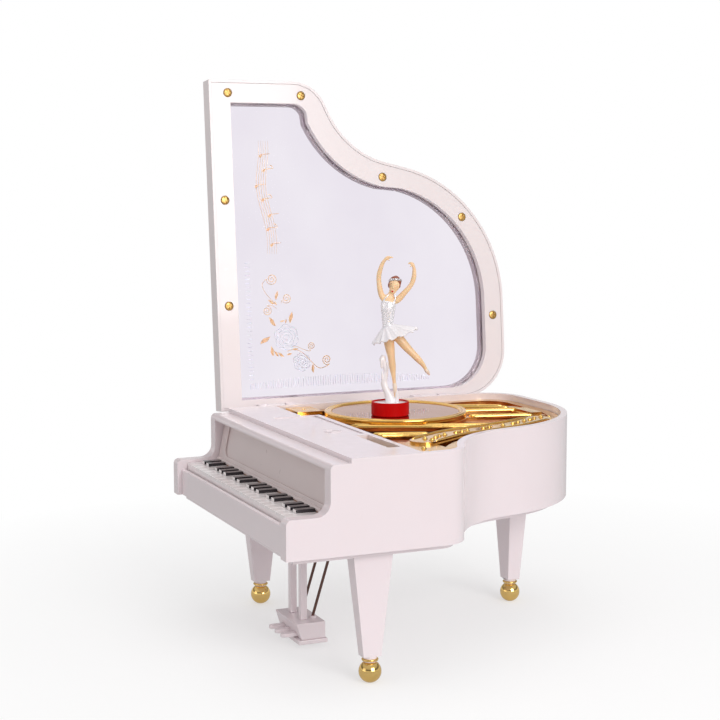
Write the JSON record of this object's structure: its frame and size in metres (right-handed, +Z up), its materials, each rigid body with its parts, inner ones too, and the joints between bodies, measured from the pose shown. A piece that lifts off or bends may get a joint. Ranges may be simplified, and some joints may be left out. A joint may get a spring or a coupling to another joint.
{
  "type": "ballerina music box",
  "caption": "Miniature grand piano music box with a hinged windowed lid, a turning magnet-driven ballerina on a mirror and a spring movement inside.",
  "frame": {"origin": "on the ground, under the middle of the outer box with the lid open", "axes": "+X from the bass side, where the lid is hinged, to the treble side; -Y is the keyboard side and +Y the tail; +Z up"},
  "size_m": [0.154, 0.1582, 0.2183],
  "materials": {
    "white_plastic": "high gloss, faint lilac-pink white",
    "key_white": "gloss",
    "key_black": "gloss",
    "fallboard_plastic": "gloss",
    "gold_plate": "vacuum-metallised gold",
    "red_board": "gloss",
    "mirror_glass": "polished",
    "gold_ball": "polished gold",
    "pane_clear": "clear acrylic",
    "gold_screw": "plated",
    "steel": "bright",
    "zinc": "die-cast, bare",
    "brass_part": "rolled brass",
    "spring_steel": "blued",
    "magnet": "nickel plated",
    "carrier_plastic": "matt",
    "nylon": "satin",
    "skin": "painted",
    "dress_white": "pearl and glitter",
    "hair_paint": "painted",
    "red_base": "gloss",
    "white_disc": "gloss",
    "brace_brown": "painted"
  },
  "bodies": {
    "root": {"case_shell": "white_plastic", "bottom_cover": "white_plastic", "key_bed": "white_plastic", "white_keys": "key_white", "black_keys": "key_black", "fallboard": "fallboard_plastic", "top_deck": "white_plastic", "harp_plate": "gold_plate", "mirror_ring": "gold_plate", "mirror": "mirror_glass", "soundboard": "red_board", "leg_bass_front": "white_plastic", "leg_treble_front": "white_plastic", "leg_tail": "white_plastic", "foot_bass_front": "gold_ball", "foot_treble_front": "gold_ball", "foot_tail": "gold_ball", "lyre_posts": "white_plastic", "lyre_box": "white_plastic", "lyre_base": "white_plastic", "pedals": "white_plastic", "brace_rods": "brace_brown", "hinge_pins": "steel", "movement_bedplate": "zinc", "drum_bracket": "steel", "train_bracket": "steel", "governor_bracket": "steel", "comb": "steel", "comb_block": "zinc", "comb_screws": "steel", "movement_screws": "steel", "cover_screws": "steel", "leg_screws": "steel"},
    "lid": {"lid_shell": "white_plastic", "lid_pane": "pane_clear", "lid_bezel": "white_plastic", "lid_screws": "gold_screw"},
    "desk": {"music_desk": "white_plastic"},
    "barrel": {"spring_barrel": "brass_part", "barrel_cover": "brass_part", "mainspring": "spring_steel", "magnet_carrier": "carrier_plastic", "drive_magnets": "magnet"},
    "dancer": {"dancer_figure": "skin", "dancer_dress": "dress_white", "dancer_hair": "hair_paint", "dancer_support": "dress_white", "base_cup": "red_base", "base_disc": "white_disc", "base_magnets": "magnet"},
    "winder": {"winding_arbor": "steel", "winding_key": "steel"},
    "drum": {"pinned_drum": "brass_part", "drum_arbor": "steel", "drum_wheel": "brass_part"},
    "second": {"second_arbor": "steel", "worm_wheel": "nylon"},
    "governor": {"governor_spindle": "steel", "air_brake": "nylon"}
  },
  "joints": [
    {"name": "lid_hinge", "type": "hinge", "parent": "root", "child": "lid", "pos_m": [-0.056, -0.00106, 0.081], "axis": [0, 1, 0], "range_deg": [0, 14]},
    {"name": "desk_hinge", "type": "hinge", "parent": "root", "child": "desk", "pos_m": [0.005, -0.04677, 0.0811], "axis": [1, 0, 0], "range_deg": [0, 72]},
    {"name": "barrel_spin", "type": "hinge", "parent": "root", "child": "barrel", "pos_m": [-0.0208, 0.00673, 0.06], "axis": [0, 0, 1], "continuous": true},
    {"name": "dancer_lift", "type": "slide", "parent": "barrel", "child": "dancer", "axis": [0, 0, 1], "range_m": [0, 0.006]},
    {"name": "winder_spin", "type": "hinge", "parent": "root", "child": "winder", "pos_m": [-0.0208, 0.00673, 0.045], "axis": [0, 0, 1], "continuous": true},
    {"name": "drum_spin", "type": "hinge", "parent": "root", "child": "drum", "pos_m": [0.0057, 0.00673, 0.0593], "axis": [1, 0, 0], "continuous": true},
    {"name": "second_spin", "type": "hinge", "parent": "root", "child": "second", "pos_m": [0.0205, 0.01573, 0.0593], "axis": [1, 0, 0], "continuous": true},
    {"name": "governor_spin", "type": "hinge", "parent": "root", "child": "governor", "pos_m": [0.0205, 0.02104, 0.0593], "axis": [0, 0, 1], "continuous": true}
  ],
  "couplings": [
    {"joint": "drum_spin", "follows": "barrel_spin", "ratio": 5},
    {"joint": "second_spin", "follows": "barrel_spin", "ratio": -20},
    {"joint": "governor_spin", "follows": "barrel_spin", "ratio": 320}
  ]
}
